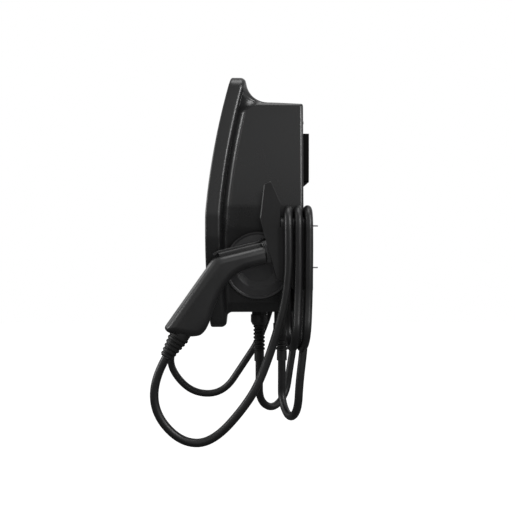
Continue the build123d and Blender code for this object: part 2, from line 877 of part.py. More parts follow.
def make_connector():
    """All the pieces of the right-hand connector, in the nose's frame."""
    outer = shell_form(0)
    inner = shell_form(shell_wall)
    keep = Pos(-shell_reach, 0, 0) * Box(2 * shell_reach, 3 * shell_reach, shell_width)
    room = Pos(-shell_reach - shell_wall, 0, 0) * Box(2 * shell_reach, 3 * shell_reach, shell_width)
    top = shell_back_shares[0][1] * shell_reach
    spine_low = top - shell_wall
    spine_high = top + spine_height
    spine = Pos(-spine_length / 2, (spine_low + spine_high) / 2, 0) * Box(
        spine_length, spine_high - spine_low, spine_width
    )
    spine = fillet(spine.edges().filter_by(Axis.X).group_by(Axis.Y)[-1], spine_round)
    slot = Pos(-spine_length / 2, top + spine_height, 0) * Box(
        2 * spine_length, 2 * spine_height, lever_width + 2 * lever_gap
    )
    shell = (outer & keep) + (spine - slot) - (inner & room)
    shell -= slot
    for u, w in shell_points(post_shares):
        shell += (Pos(u, w, 0) * Cylinder(post_radius, shell_width)) & outer
        shell -= Pos(u, w, -shell_width / 8) * Cylinder(shell_screw_radius, shell_width * 3 / 4)
        shell -= Pos(u, w, -shell_width / 2) * Cylinder(shell_screw_head, 2 * shell_wall)
    shell -= Pos(-nose_stem_length / 2, 0, 0) * Rot(0, 90, 0) * Cylinder(nose_stem_radius, nose_stem_length)
    shell -= latch_pin()
    boot, boot_hollow = make_boot()
    shell -= boot_hollow
    halves = {}
    for name, side in (("outer", 1), ("inner", -1)):
        far_half = Pos(0, 0, side * (shell_width + shell_parting))
        cut = far_half * Box(3 * shell_reach, 3 * shell_reach, 2 * shell_width)
        halves[name] = shell & cut
    screws = []
    for u, w in shell_points(post_shares):
        low = -shell_width / 2 + shell_wall
        head = Pos(u, w, low - shell_wall / 3) * Cylinder(shell_screw_head, shell_wall * 2 / 3)
        bar = Pos(u, w, low / 2 + shell_width / 16) * Cylinder(shell_screw_radius, shell_width / 8 - low)
        screws.append(head + bar)
    nose, carrier, contacts = make_nose()
    return {
        "connector_shell_inner": halves["inner"],
        "connector_shell_outer": halves["outer"],
        "connector_screws": Compound(children=screws),
        "connector_nose": nose,
        "contact_carrier": carrier,
        "contacts": contacts,
        "latch_lever": make_lever(),
        "latch_pin": latch_pin(),
        "latch_spring": make_spring(),
        "cable_boot": boot,
    }


def latch_pin():
    """The pin that the latch lever rocks on, across the spine."""
    height = lever_top - lever_thickness - lever_pin_radius
    return Pos(-lever_pivot, height, 0) * Cylinder(lever_pin_radius, spine_width - spine_round)


def make_lever():
    """The latch lever: thumb pad, long arm, pivot ear and hook."""
    low = lever_top - lever_thickness
    eye = low - lever_pin_radius
    tail = -lever_tail - lever_thickness
    hook = lever_reach - lever_hook_length
    hook_low = low - lever_hook_drop / 4
    outline = [
        (-lever_tail, low), (tail, low - lever_tail_drop),
        (tail - lever_round, low - lever_tail_drop / 4), (-lever_tail, lever_top - lever_round),
        (-lever_tail + lever_thickness, lever_top), (0, lever_top),
        (hook, lever_top + lever_rise), (lever_reach, lever_top + lever_rise / 2),
        (lever_reach, hook_low), (hook, hook_low),
        (hook, low + lever_rise), (0, low + lever_rise / 2), (-lever_hook_length, low),
    ]
    arm = slice_x(make_face(Polyline(*outline, close=True)), lever_width / 2)
    arm += Pos(-lever_pivot, eye, 0) * Cylinder(2 * lever_pin_radius, lever_width)
    arm = fillet(arm.edges().filter_by(Axis.X).group_by(Axis.Y)[-1], lever_round)
    return arm - Pos(-lever_pivot, eye, 0) * Cylinder(lever_pin_radius + shell_parting / 3, shell_width)


def make_spring():
    """The coil spring under the lever's thumb end."""
    low = shell_back_shares[0][1] * shell_reach
    high = lever_top - lever_thickness
    height = high - low - 2 * spring_wire
    coil = Helix(pitch=height / spring_turns, height=height, radius=spring_radius)
    wire = Plane(origin=coil @ 0, z_dir=coil % 0) * Circle(spring_wire)
    return Pos(-spring_place, low + spring_wire, 0) * Rot(-90, 0, 0) * sweep(wire, path=coil)


def make_nose():
    """The nose with its shroud and collar, the carrier inside it and the contacts in the carrier."""
    core_end = nose_length - nose_core_sink
    floor = collar_length + nose_wall
    points = [
        (nose_core_radius, -nose_stem_length), (nose_stem_radius, -nose_stem_length), (nose_stem_radius, 0),
        (collar_radius, 0), (collar_radius, collar_length), (nose_radius, collar_length),
        (nose_radius, nose_length), (nose_radius - nose_wall, nose_length),
        (nose_radius - nose_wall, floor), (nose_core_radius, floor),
    ]
    nose = Rot(0, 90, 0) * turned(points)
    notch_low = lever_top - lever_thickness - lever_hook_drop
    notch = Pos(nose_length / 2, notch_low + nose_radius, 0) * Box(
        2 * nose_length, 2 * nose_radius, lever_width + 2 * lever_gap
    )
    nose -= notch
    long = nose_stem_length + core_end
    carrier_radius = nose_core_radius - carrier_play
    carrier = Pos(core_end - long / 2, 0, 0) * Rot(0, 90, 0) * Cylinder(carrier_radius, long)
    pins = []
    spots = [(a, power_pin_radius) for a in power_pin_angles]
    spots += [(a, signal_pin_radius) for a in signal_pin_angles]
    for angle, radius in spots:
        w = pin_ring * sin(radians(angle))
        x = pin_ring * cos(radians(angle))
        length = long - pin_sink
        middle = core_end - pin_sink - length / 2
        pin = Pos(middle, w, x) * Rot(0, 90, 0) * Cylinder(radius, length)
        pins.append(pin)
        carrier -= Pos(middle + pin_sink, w, x) * Rot(0, 90, 0) * Cylinder(radius, length + 2 * pin_sink)
    return nose, carrier, Compound(children=pins)


def make_boot():
    """The ribbed bend relief on the tail, and the hollow that it needs in the shell."""
    (u0, w0), (u1, w1) = shell_points([boot_start_shares, boot_end_shares])
    length = hypot(u1 - u0, w1 - w0)
    lean = degrees(atan2(u1 - u0, w0 - w1))
    pitch = length / boot_ribs
    points = [(0, boot_root), (boot_radius - boot_rib, boot_root)]
    for i in range(boot_ribs):
        radius = boot_radius + (boot_end_radius - boot_radius) * i / (boot_ribs - 1)
        high = -i * pitch
        for rib, share in zip(boot_rib_shares, boot_pitch_shares):
            points.append((radius - boot_rib * rib, high - pitch * share))
    points += [(boot_end_radius - boot_rib, -length), (gland_bore, -length)]
    points += [(gland_bore, -length + boot_socket), (0, -length + boot_socket)]
    place = Pos(u0, w0, 0) * Rot(0, 0, lean) * Rot(-90, 0, 0)
    hollow_radius = boot_radius - boot_rib
    hollow = place * Cylinder(hollow_radius, 2 * boot_root)
    hollow += place * Pos(0, 0, -pitch) * Cylinder(boot_radius + hole_play, 2 * pitch)
    return place * turned(points), hollow


def base_screw_spots():
    """The holster's screws, on a circle about the dish's centre."""
    ring = base_radius * base_screw_share
    return [(ring * cos(radians(a)), ring * sin(radians(a))) for a in base_screw_angles]


def make_holster_screws():
    """Screws from inside the housing into the holster's base."""
    inside = -dish_depth - housing_wall
    length = housing_wall + base_screw_bite
    screws = []
    for x, y in base_screw_spots():
        head = Pos(x, y, inside - screw_head_height / 2) * Cylinder(screw_head_radius, screw_head_height)
        screws.append(head + Pos(x, y, inside + length / 2) * Cylinder(screw_radius, length))
    return dish_plane(1) * Compound(children=screws)


def make_holster():
    """The holster: a dished round base in the housing's side, with a slotted cup on it."""
    points = [
        (base_radius * r, base_height * h) for r, h in zip(base_radius_shares, base_height_shares)
    ]
    points = [(0, 0)] + points + [(0, points[-1][1])]
    base = dish_plane(1) * Pos(0, 0, -dish_depth) * turned(points)
    bore = nose_radius + cup_clearance
    start = collar_length + cup_clearance
    end = nose_length + cup_clearance / 2
    outer = bore + cup_wall
    middle = (start + end + cup_wall) / 2
    cup = Pos(middle, 0, 0) * Rot(0, 90, 0) * Cylinder(outer, end + cup_wall - start)
    reach = connector_x - side_at(dish_z)
    web_depth = outer / 2
    web = Pos(middle, 0, -reach + (reach - web_depth) / 2) * Box(
        end + cup_wall - start, outer, reach - web_depth
    )
    cup = cup + web
    mouth = Pos((start + end) / 2 - overrun, 0, 0) * Rot(0, 90, 0)
    cup -= mouth * Cylinder(bore, end - start + 2 * overrun)
    cup -= Pos(middle, outer, 0) * Box(2 * end, outer, cup_slot)
    for x, y in base_screw_spots():
        place = dish_plane(1) * Pos(x, y, base_screw_bite / 2 - dish_depth)
        base -= place * Cylinder(screw_radius, base_screw_bite)
    above = dish_plane(1) * Pos(0, 0, dish_radius - dish_depth)
    return base + (nose_plane() * cup & above * Box(far_off, far_off, 2 * dish_radius))


def make_hook():
    """The cable hook: guard plate, saddle, inner leg and wall flange in one moulding."""
    saddle_z = saddle_top - saddle_radius
    guard = [
        (guard_tip_y, guard_tip_z), (guard_cheek_y, guard_cheek_z), (guard_nose_y, guard_nose_z),
        (guard_heel_y, guard_heel_z), (guard_heel_y / 2, hook_foot), (0, hook_foot),
        (0, saddle_z), (saddle_front, saddle_z), (saddle_front, guard_neck_z),
    ]
    face = make_face(Polyline(*guard, close=True))
    soft = [v for v in face.vertices() if v.X < -seat_gap and v.X < saddle_front - seat_gap]
    face = fillet(soft, guard_round)
    outside = hook_x + saddle_radius
    plate = along_x(face, outside - plate_thickness, outside)
    rim = [
        e
        for e in plate.edges()
        if abs(e.center().X - outside) < seat_gap / 3 and e.center().Y < saddle_front + seat_gap
    ]
    plate = chamfer(rim, guard_chamfer)
    centre = Pos(hook_x, saddle_z)
    arch = centre * (Circle(saddle_radius) - Circle(saddle_radius - plate_thickness))
    arch -= Pos(hook_x, saddle_z - saddle_radius) * Rectangle(4 * saddle_radius, 2 * saddle_radius)
    leg_x = hook_x - saddle_radius + plate_thickness / 2
    arch += Pos(leg_x, saddle_z - hook_inner_leg / 2) * Rectangle(plate_thickness, hook_inner_leg)
    body = plate + along_y(arch, 0, saddle_front)
    height = saddle_z - hook_foot
    flange = centre * Circle(saddle_radius - plate_thickness / 2)
    flange += Pos(hook_x + plate_thickness / 2, saddle_z - height / 2) * Rectangle(
        2 * saddle_radius - plate_thickness, height
    )
    body += along_y(flange, 0, -flange_thickness)
    for z in wall_screw_heights():
        body -= rod(hook_x, z, wall_screw_radius, overrun, -2 * flange_thickness)
    return body


def wall_screw_heights():
    """The heights of a hook's two wall screws."""
    return (wall_screw_high, wall_screw_high - wall_screw_spacing)


def make_hook_screws():
    """The hook's wall screws, which stand out behind it."""
    screws = []
    for z in wall_screw_heights():
        head = rod(hook_x, z, wall_screw_head, -flange_thickness, -flange_thickness - screw_head_height)
        head = chamfer(head.edges().group_by(Axis.Y)[0], screw_head_height / 4)
        shank = rod(hook_x, z, wall_screw_radius, 0, -flange_thickness)
        screws.append(head + shank + rod(hook_x, z, wall_screw_end_radius, wall_screw_reach, 0))
    return Compound(children=screws)


def make_cable(name):
    """A charging cable: straight runs joined by arcs as large as the runs allow."""
    route = [Vector(*p) for p in routes[name]]
    radii = corner_radii(route)
    path = FilletPolyline(*route, radius=radii)
    section = Plane(origin=path @ 0, z_dir=path % 0) * Circle(cable_radius)
    tube = sweep(section, path=path)
    straight = pi * cable_radius**2 * path.length
    print(name, "cable length", round(path.length), "tightest bend", round(min(radii)))
    print(name, "tube over section times length", round(tube.volume / straight, 4))
    return tube


def main():
    """Writes every node."""
    save("rear_housing", make_housing())
    save("front_cover", make_cover())
    save("housing_gasket", make_gasket())
    save("cover_screws", make_cover_screws())
    save("display_window", make_window())
    save("display_board", make_display())
    save("status_light", make_light())
    save("chassis_plate", make_chassis())
    save("plate_screws", make_plate_screws())
    save("board_spacers", make_spacers())
    save("main_board", make_board())
    save("board_screws", make_board_screws())
    save("contactor_1", make_contactor(-1))
    save("contactor_2", make_contactor(1))
    save("power_supply", make_supply())
    save("current_sensor", make_sensor())
    save("terminal_block", make_terminals())
    save("entry_grommet", make_grommet())
    save("wall_bracket", make_bracket())
    for name in sides:
        for key, shape in make_gland(name).items():
            save(f"{name}_gland_{key}", shape)
    right = {"holster": make_holster(), "cable_hook": make_hook(), "hook_screws": make_hook_screws()}
    right["holster_screws"] = make_holster_screws()
    plane = nose_plane()
    for key, shape in make_connector().items():
        right[key] = plane * shape
    for key, shape in right.items():
        save(f"right_{key}", shape)
        save(f"left_{key}", mirror(shape, about=Plane.YZ))
    for name in sides:
        save(f"{name}_charge_cable", make_cable(name))


main()
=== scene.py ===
# %% [markdown]
# # A wall charging station, dressed for the camera
#
# The solids of this unit come from its CAD model: a bowed cover on a tapered housing, two
# holsters with connectors, two cable hooks and the glands. This lesson loads them, gives every
# visible piece a finish that is worked out by nodes, and adds what the solids lack: smooth
# charging cables, the cove behind the cover's rim and a plate in the housing's roof.
#
# Everything is in metres. The origin lies on the wall, +Z is up and the front faces -Y.

import math

import bpy
import numpy as np
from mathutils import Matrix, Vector


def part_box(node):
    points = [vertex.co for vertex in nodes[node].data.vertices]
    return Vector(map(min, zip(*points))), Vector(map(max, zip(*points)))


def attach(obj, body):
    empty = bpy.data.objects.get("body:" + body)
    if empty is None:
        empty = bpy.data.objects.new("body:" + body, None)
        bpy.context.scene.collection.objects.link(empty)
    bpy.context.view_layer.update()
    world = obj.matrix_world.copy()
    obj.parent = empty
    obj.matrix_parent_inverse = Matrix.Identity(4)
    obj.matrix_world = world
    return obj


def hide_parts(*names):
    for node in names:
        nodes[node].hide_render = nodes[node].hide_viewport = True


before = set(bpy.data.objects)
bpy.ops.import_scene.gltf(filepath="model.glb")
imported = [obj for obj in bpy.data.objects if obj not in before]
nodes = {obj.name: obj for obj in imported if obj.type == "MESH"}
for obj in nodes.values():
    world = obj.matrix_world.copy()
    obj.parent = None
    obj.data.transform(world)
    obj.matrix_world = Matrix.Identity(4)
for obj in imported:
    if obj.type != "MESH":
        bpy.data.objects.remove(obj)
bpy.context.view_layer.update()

# %% [markdown]
# ## Camera
#
# The picture looks at the right-hand side, almost exactly along -X, from about 1.6 m. A camera
# can be aimed by hand, but working its direction out from one vanishing point is surer: lines
# that run along X meet a little left of the picture's middle and a little above it, and the
# small tilt below puts them there. The lens follows from the picture's width of 515 pixels and
# a focal length of 700 of them.

# %% Camera
PICTURE = 515
FOCAL_PIXELS = 700
SENSOR_WIDTH = 36
CAMERA_PLACE = (1.600, -0.159, -0.190)
CAMERA_DIRECTION = (-1, 0.0307, -0.0179)


def aim(obj, direction):
    """Turns an object so that its -Z looks along a direction, with +Y as upright as it can be."""
    obj.rotation_euler = Vector(direction).to_track_quat("-Z", "Y").to_euler()


camera = bpy.data.objects.new("camera", bpy.data.cameras.new("camera"))
bpy.context.scene.collection.objects.link(camera)
camera.location = CAMERA_PLACE
aim(camera, CAMERA_DIRECTION)
camera.data.sensor_width = SENSOR_WIDTH
camera.data.lens = SENSOR_WIDTH * FOCAL_PIXELS / PICTURE
bpy.context.scene.camera = camera
print("lens:", round(camera.data.lens, 2))

# %% [markdown]
# ## Room and light
#
# A product picture like this one has no visible room: a white ground and soft light from above
# and from the sides. A lit backdrop would do, but a white world that lamps do not depend on is
# simpler. The world shows white behind the object, but lights it with greys that depend on the
# height. A satin plastic mirrors them: near the belt an upright side sees the dark gap at the
# horizon, higher up it sees the band above the gap, which brightens upwards, and what faces down
# sees only a dim grey. This gives the slow fade down the sides that the picture shows.

# %% World
SKY_GREYS = [
    (0.0, 0.03), (0.38, 0.06), (0.492, 0.08), (0.508, 0.005), (0.526, 0.01), (0.545, 0.14),
    (0.575, 0.34), (0.592, 0.38), (0.602, 0.85), (0.612, 0.60), (0.64, 0.36), (0.75, 0.28), (1.0, 0.36),
]
SKY_STRENGTH = 2.0
world = bpy.data.worlds.new("studio")
bpy.context.scene.world = world
world.use_nodes = True
tree = world.node_tree
tree.nodes.clear()


def add(tree, kind, place=(0, 0), **values):
    """Adds a node, sets its properties by name and its inputs by their names, and returns it."""
    node = tree.nodes.new(kind)
    node.location = place
    for key, value in values.items():
        name = key.replace("_", " ")
        if hasattr(node, key):
            setattr(node, key, value)
        else:
            socket = next(s for s in node.inputs if s.name.lower() == name.lower())
            socket.default_value = value
    return node


def ramp(tree, stops):
    """A colour ramp from a list of (position, grey or colour)."""
    node = tree.nodes.new("ShaderNodeValToRGB")
    while len(node.color_ramp.elements) < len(stops):
        node.color_ramp.elements.new(0.5)
    for element, (position, value) in zip(node.color_ramp.elements, stops):
        element.position = position
        colour = (value,) * 3 if isinstance(value, (int, float)) else value
        element.color = (*colour, 1)
    return node


coords = add(tree, "ShaderNodeTexCoord")
split = add(tree, "ShaderNodeSeparateXYZ")
height = add(tree, "ShaderNodeMapRange", From_Min=-1.0, From_Max=1.0)
fade = ramp(tree, SKY_GREYS)
light_part = add(tree, "ShaderNodeBackground", Strength=SKY_STRENGTH)
seen_part = add(tree, "ShaderNodeBackground", Strength=1.0, Color=(1, 1, 1, 1))
which = add(tree, "ShaderNodeLightPath")
mix = add(tree, "ShaderNodeMixShader")
output = add(tree, "ShaderNodeOutputWorld")
link = tree.links.new
link(coords.outputs["Generated"], split.inputs[0])
link(split.outputs["Z"], height.inputs["Value"])
link(height.outputs[0], fade.inputs[0])
link(fade.outputs[0], light_part.inputs["Color"])
link(which.outputs["Is Camera Ray"], mix.inputs[0])
link(light_part.outputs[0], mix.inputs[1])
link(seen_part.outputs[0], mix.inputs[2])
link(mix.outputs[0], output.inputs["Surface"])
print("sky:", len(SKY_GREYS), "greys from straight down to straight up")


# %% [markdown]
# Three area lamps do the rest. A broad one overhead lights the tops, a strip to the right of the
# camera draws fine lines down the edges that face the wall, and one in front of the unit does the
# same for its rim. Point lamps would leave hard spots on a satin surface.

# %% Lamps
def area_lamp(name, place, towards, size, power):
    """A rectangular area lamp at a place, facing a point."""
    lamp = bpy.data.objects.new(name, bpy.data.lights.new(name, "AREA"))
    lamp.data.shape = "RECTANGLE"
    lamp.data.size, lamp.data.size_y = size
    lamp.data.energy = power
    lamp.location = place
    aim(lamp, Vector(towards) - Vector(place))
    bpy.context.scene.collection.objects.link(lamp)
    return lamp


UNIT_MIDDLE, RIM_MIDDLE = (0, -0.15, -0.1), (0, -0.2, -0.2)
LAMPS = {
    "top_soft": {"place": (0.3, 0.1, 1.6), "towards": UNIT_MIDDLE, "size": (1.0, 1.0), "power": 12},
    "rear_strip": {"place": (1.35, 1.05, 0.6), "towards": UNIT_MIDDLE, "size": (0.36, 0.9), "power": 20},
    "front_strip": {"place": (0.2, -1.9, 0.25), "towards": RIM_MIDDLE, "size": (0.5, 1.0), "power": 14},
}
for name, values in LAMPS.items():
    area_lamp(name, **values)
print("lamps:", len(LAMPS), "with", sum(values["power"] for values in LAMPS.values()), "W")
bpy.context.scene.view_settings.view_transform = "Standard"


# %% [markdown]
# ## Floor
#
# The unit hangs on a wall and its cables hang below it, so the floor lies well under them. A
# single large plane is enough, pale and matt. It glows evenly like a light table, because lamps
# alone leave its far end grey. A dark plastic would mirror it on every side that faces down, and
# these are dark in the picture, so the floor sends them soft light but no gloss.

# %% Floor
def grid_mesh(name, points, closed=False):
    """A mesh from points [rows, columns, 3]: neighbours share faces, and a closed row is a ring."""
    rows, columns = points.shape[:2]
    a, b = np.meshgrid(np.arange(rows - 1), np.arange(columns if closed else columns - 1), indexing="ij")
    a, b = a.ravel(), b.ravel()
    a1, b1 = a + 1, (b + 1) % columns
    faces = np.stack([a * columns + b, a * columns + b1, a1 * columns + b1, a1 * columns + b], 1)
    mesh = bpy.data.meshes.new(name)
    mesh.from_pydata(points.reshape(-1, 3).tolist(), [], faces.tolist())
    mesh.update()
    obj = bpy.data.objects.new(name, mesh)
    bpy.context.scene.collection.objects.link(obj)
    return obj


FLOOR_LEVEL, FLOOR_HALF, FLOOR_LINES = -1.05, 6.0, 7
FLOOR_GREY, FLOOR_ROUGHNESS, FLOOR_GLOW = 0.15, 0.9, 0.94

edge = np.linspace(-FLOOR_HALF, FLOOR_HALF, FLOOR_LINES)
fx, fy = np.meshgrid(edge, edge)
floor = grid_mesh("floor", np.stack([fx, fy, np.full_like(fx, FLOOR_LEVEL)], -1))
paint = bpy.data.materials.new("pale_floor")
paint.use_nodes = True
sheet = paint.node_tree.nodes["Principled BSDF"]
sheet.inputs["Base Color"].default_value = (FLOOR_GREY, FLOOR_GREY, FLOOR_GREY, 1)
sheet.inputs["Roughness"].default_value = FLOOR_ROUGHNESS
sheet.inputs["Emission Color"].default_value = (1, 1, 1, 1)
sheet.inputs["Emission Strength"].default_value = FLOOR_GLOW
floor.data.materials.append(paint)
floor.visible_glossy = False


# %% [markdown]
# ## Moulded plastic
#
# Almost everything here is moulded in charcoal or black plastic with a fine spark eroded
# texture. A flat grey would look like a toy. Real mouldings have three things that this recipe
# adds: a grain of about a millimetre or less in the bump, slow changes of gloss over centimetres,
# and edges that are rubbed slightly paler by hands and cables.

# %% Plastic recipe
CLOUD_SHADES = (0.86, 1.14)
CLOUD_GLOSS = (-0.05, 0.07)
WORN_EDGE = (0.52, 0.62)
WORN_GAIN, WORN_LIFT = 2.1, 0.02
STREAK_SCALE = 60.0
GRAIN_DEPTH = 0.0002


def shades(tree, colour, dark, light):
    """A ramp between two shades of a colour, for the middle part of a noise."""
    return ramp(tree, [(0.3, [c * dark for c in colour]), (0.7, [c * light for c in colour])])


def plastic(name, colour, roughness, grain=1400.0, bump=0.12, wear=0.25, specular=0.45, cloud=9.0):
    """Moulded plastic: base colour with slow clouds, fine grain in the bump, paler edges."""
    material = bpy.data.materials.new(name)
    material.use_nodes = True
    tree = material.node_tree
    shader = tree.nodes["Principled BSDF"]
    coords = add(tree, "ShaderNodeTexCoord", (-1200, 0))
    slow = add(tree, "ShaderNodeTexNoise", (-1000, 200), Scale=cloud, Detail=3.0, Roughness=0.6)
    fine = add(tree, "ShaderNodeTexNoise", (-1000, -300), Scale=grain, Detail=2.0, Roughness=0.55)
    worn = add(tree, "ShaderNodeNewGeometry", (-1000, -50))
    edge = ramp(tree, [(WORN_EDGE[0], 0.0), (WORN_EDGE[1], 1.0)])
    streak = add(tree, "ShaderNodeTexNoise", (-1000, -550), Scale=STREAK_SCALE, Detail=4.0, Roughness=0.7)
    rub = add(tree, "ShaderNodeMath", (-600, -50), operation="MULTIPLY")
    rub_amount = add(tree, "ShaderNodeMath", (-450, -50), operation="MULTIPLY")
    rub_amount.inputs[1].default_value = wear
    tint = shades(tree, colour, *CLOUD_SHADES)
    pale = add(tree, "ShaderNodeMix", (-200, 200), data_type="RGBA", blend_type="MIX")
    pale.inputs[7].default_value = (*[min(1, c * WORN_GAIN + WORN_LIFT) for c in colour], 1)
    gloss = add(tree, "ShaderNodeMapRange", (-400, 50))
    gloss.inputs["To Min"].default_value = roughness + CLOUD_GLOSS[0]
    gloss.inputs["To Max"].default_value = roughness + CLOUD_GLOSS[1]
    relief = add(tree, "ShaderNodeBump", (-200, -300), Strength=bump, Distance=GRAIN_DEPTH)
    link = tree.links.new
    for noise in (slow, fine, streak):
        link(coords.outputs["Object"], noise.inputs["Vector"])
    link(slow.outputs["Fac"], tint.inputs[0])
    link(slow.outputs["Fac"], gloss.inputs["Value"])
    link(worn.outputs["Pointiness"], edge.inputs[0])
    link(edge.outputs[0], rub.inputs[0])
    link(streak.outputs["Fac"], rub.inputs[1])
    link(rub.outputs[0], rub_amount.inputs[0])
    link(rub_amount.outputs[0], pale.inputs[0])
    link(tint.outputs[0], pale.inputs[6])
    link(pale.outputs[2], shader.inputs["Base Color"])
    link(gloss.outputs[0], shader.inputs["Roughness"])
    link(fine.outputs["Fac"], relief.inputs["Height"])
    link(relief.outputs[0], shader.inputs["Normal"])
    shader.inputs["Specular IOR Level"].default_value = specular
    return material


charcoal = plastic("charcoal_satin", (0.0055, 0.0056, 0.0058), 0.27, bump=0.05)
charcoal_rear = plastic("charcoal_rear", (0.0055, 0.0056, 0.0058), 0.27, bump=0.05)
guard_matt = plastic("guard_matt", (0.005, 0.005, 0.0052), 0.42, bump=0.1, specular=0.3)
black_moulding = plastic("black_moulding", (0.005, 0.005, 0.0052), 0.36, grain=1900, bump=0.1)
lever_black = plastic("lever_black", (0.005, 0.005, 0.0052), 0.34, grain=1900)
# The holster's plastic is about five times paler than the other blacks. This is painted light: it stands
# in for the light its dish misses in the shade under the connector.
holster_painted_light = plastic("holster_painted_light", (0.026, 0.026, 0.027), 0.5, grain=1900, bump=0.1)
grip_black = plastic("grip_black", (0.006, 0.006, 0.0062), 0.32, grain=1900, bump=0.08)
nose_black = plastic("nose_black", (0.004, 0.004, 0.004), 0.3, grain=2200, bump=0.05)
device_grey = plastic("device_grey", (0.26, 0.265, 0.27), 0.5, grain=1200)
rubber = plastic(
    "black_rubber", (0.003, 0.003, 0.003), 0.5, grain=900, bump=0.15, wear=0.1, specular=0.35
)


# %% [markdown]
# ## Steel, brass and boards
#
# Screws, pins and the plate are zinc plated: a metal with thin scratches across one axis. A
# picture of scratched metal would do, but noise that is squeezed along one axis needs no file and
# never repeats. The bracket is powder coated, which has a coarser bump, so it takes the plastic
# recipe with a larger grain. A circuit board is green solder mask over copper tracks, and a brick
# pattern with thin joints gives both the fields and the tracks between them.

# %% Metal and board recipes
SCRATCH_GLOSS = (-0.08, 0.12)
SCRATCH_SHADES = (0.8, 1.0)
SCRATCH_SCALE = 60.0
RELIEF_DEPTH = 0.0001
BOARD_BRICKS, BOARD_TRACK, BOARD_ROUGHNESS = 90.0, 0.06, 0.35


def metal(name, colour, roughness, squeeze=(1, 1, 40)):
    """Plated metal: fine scratches from noise that is squeezed along one axis."""
    material = bpy.data.materials.new(name)
    material.use_nodes = True
    tree = material.node_tree
    shader = tree.nodes["Principled BSDF"]
    coords = add(tree, "ShaderNodeTexCoord")
    turn = add(tree, "ShaderNodeMapping")
    turn.inputs["Scale"].default_value = squeeze
    noise = add(tree, "ShaderNodeTexNoise", Scale=SCRATCH_SCALE, Detail=4.0, Roughness=0.6)
    gloss = add(tree, "ShaderNodeMapRange")
    gloss.inputs["To Min"].default_value = roughness + SCRATCH_GLOSS[0]
    gloss.inputs["To Max"].default_value = roughness + SCRATCH_GLOSS[1]
    tint = shades(tree, colour, *SCRATCH_SHADES)
    relief = add(tree, "ShaderNodeBump", Strength=0.08, Distance=RELIEF_DEPTH)
    link = tree.links.new
    link(coords.outputs["Object"], turn.inputs["Vector"])
    link(turn.outputs[0], noise.inputs["Vector"])
    link(noise.outputs["Fac"], gloss.inputs["Value"])
    link(noise.outputs["Fac"], tint.inputs[0])
    link(noise.outputs["Fac"], relief.inputs["Height"])
    link(tint.outputs[0], shader.inputs["Base Color"])
    link(gloss.outputs[0], shader.inputs["Roughness"])
    link(relief.outputs[0], shader.inputs["Normal"])
    shader.inputs["Metallic"].default_value = 1.0
    return material


def board(name):
    """A circuit board: fields of solder mask with darker tracks between them."""
    material = bpy.data.materials.new(name)
    material.use_nodes = True
    tree = material.node_tree
    shader = tree.nodes["Principled BSDF"]
    coords = add(tree, "ShaderNodeTexCoord")
    bands = add(tree, "ShaderNodeTexBrick", Scale=BOARD_BRICKS)
    bands.inputs["Color1"].default_value = (0.010, 0.085, 0.035, 1)
    bands.inputs["Color2"].default_value = (0.012, 0.110, 0.045, 1)
    bands.inputs["Mortar"].default_value = (0.006, 0.055, 0.025, 1)
    bands.inputs["Mortar Size"].default_value = BOARD_TRACK
    relief = add(tree, "ShaderNodeBump", Strength=0.3, Distance=RELIEF_DEPTH)
    turn = add(tree, "ShaderNodeMapping")
    turn.inputs["Rotation"].default_value = (math.pi / 2, 0, 0)
    link = tree.links.new
    link(coords.outputs["Object"], turn.inputs["Vector"])
    link(turn.outputs[0], bands.inputs["Vector"])
    link(bands.outputs["Color"], shader.inputs["Base Color"])
    link(bands.outputs["Fac"], relief.inputs["Height"])
    link(relief.outputs[0], shader.inputs["Normal"])
    shader.inputs["Roughness"].default_value = BOARD_ROUGHNESS
    return material


zinc = metal("zinc_plate", (0.30, 0.30, 0.31), 0.38)
brass = metal("turned_brass", (0.72, 0.55, 0.27), 0.3)
silver = metal("silver_contact", (0.80, 0.79, 0.76), 0.25)
coated = plastic(
    "powder_coat", (0.002, 0.002, 0.002), 0.6, grain=500, bump=0.2, wear=0.0, specular=0.05
)
green = board("solder_mask")

# %% [markdown]
# ## Window and light
#
# The front has a dark window over the display and a short light bar below it. Both lie almost
# flush with the bowed front. The window is nearly black with a clear, smooth top coat, so a coat
# layer over a dark base is closer than glass would be.

# %% Window and light bar
window = plastic("dark_window", (0.003, 0.003, 0.004), 0.08, grain=300, bump=0.01, wear=0.0)
top_coat = window.node_tree.nodes["Principled BSDF"]
top_coat.inputs["Coat Weight"].default_value = 1.0
top_coat.inputs["Coat Roughness"].default_value = 0.03
light_bar = plastic("light_bar", (0.50, 0.56, 0.54), 0.3, grain=800, bump=0.05, wear=0.0)

# %% [markdown]
# Each node takes its finish from this table. The two sides share their names but for the first
# word, so one line serves both. Whatever the table lacks stops the script, which is better than a
# piece that is left white.

# %% Finishes by node
FINISH = {
    "rear_housing": charcoal_rear,
    "front_cover": charcoal,
    "housing_gasket": rubber,
    "cover_screws": zinc,
    "display_window": window,
    "display_board": green,
    "status_light": light_bar,
    "chassis_plate": zinc,
    "plate_screws": zinc,
    "board_spacers": brass,
    "main_board": green,
    "board_screws": zinc,
    "contactor_1": device_grey,
    "contactor_2": device_grey,
    "power_supply": device_grey,
    "current_sensor": device_grey,
    "terminal_block": device_grey,
    "entry_grommet": rubber,
    "wall_bracket": coated,
    "gland_body": black_moulding,
    "gland_locknut": black_moulding,
    "gland_nut": black_moulding,
    "gland_sleeve": rubber,
    "holster": holster_painted_light,
    "holster_screws": zinc,
    "cable_hook": guard_matt,
    "hook_screws": zinc,
    "connector_shell_inner": grip_black,
    "connector_shell_outer": grip_black,
    "connector_screws": zinc,
    "connector_nose": nose_black,
    "contact_carrier": nose_black,
    "contacts": silver,
    "latch_lever": lever_black,
    "latch_pin": zinc,
    "latch_spring": zinc,
    "cable_boot": rubber,
    "charge_cable": rubber,
}
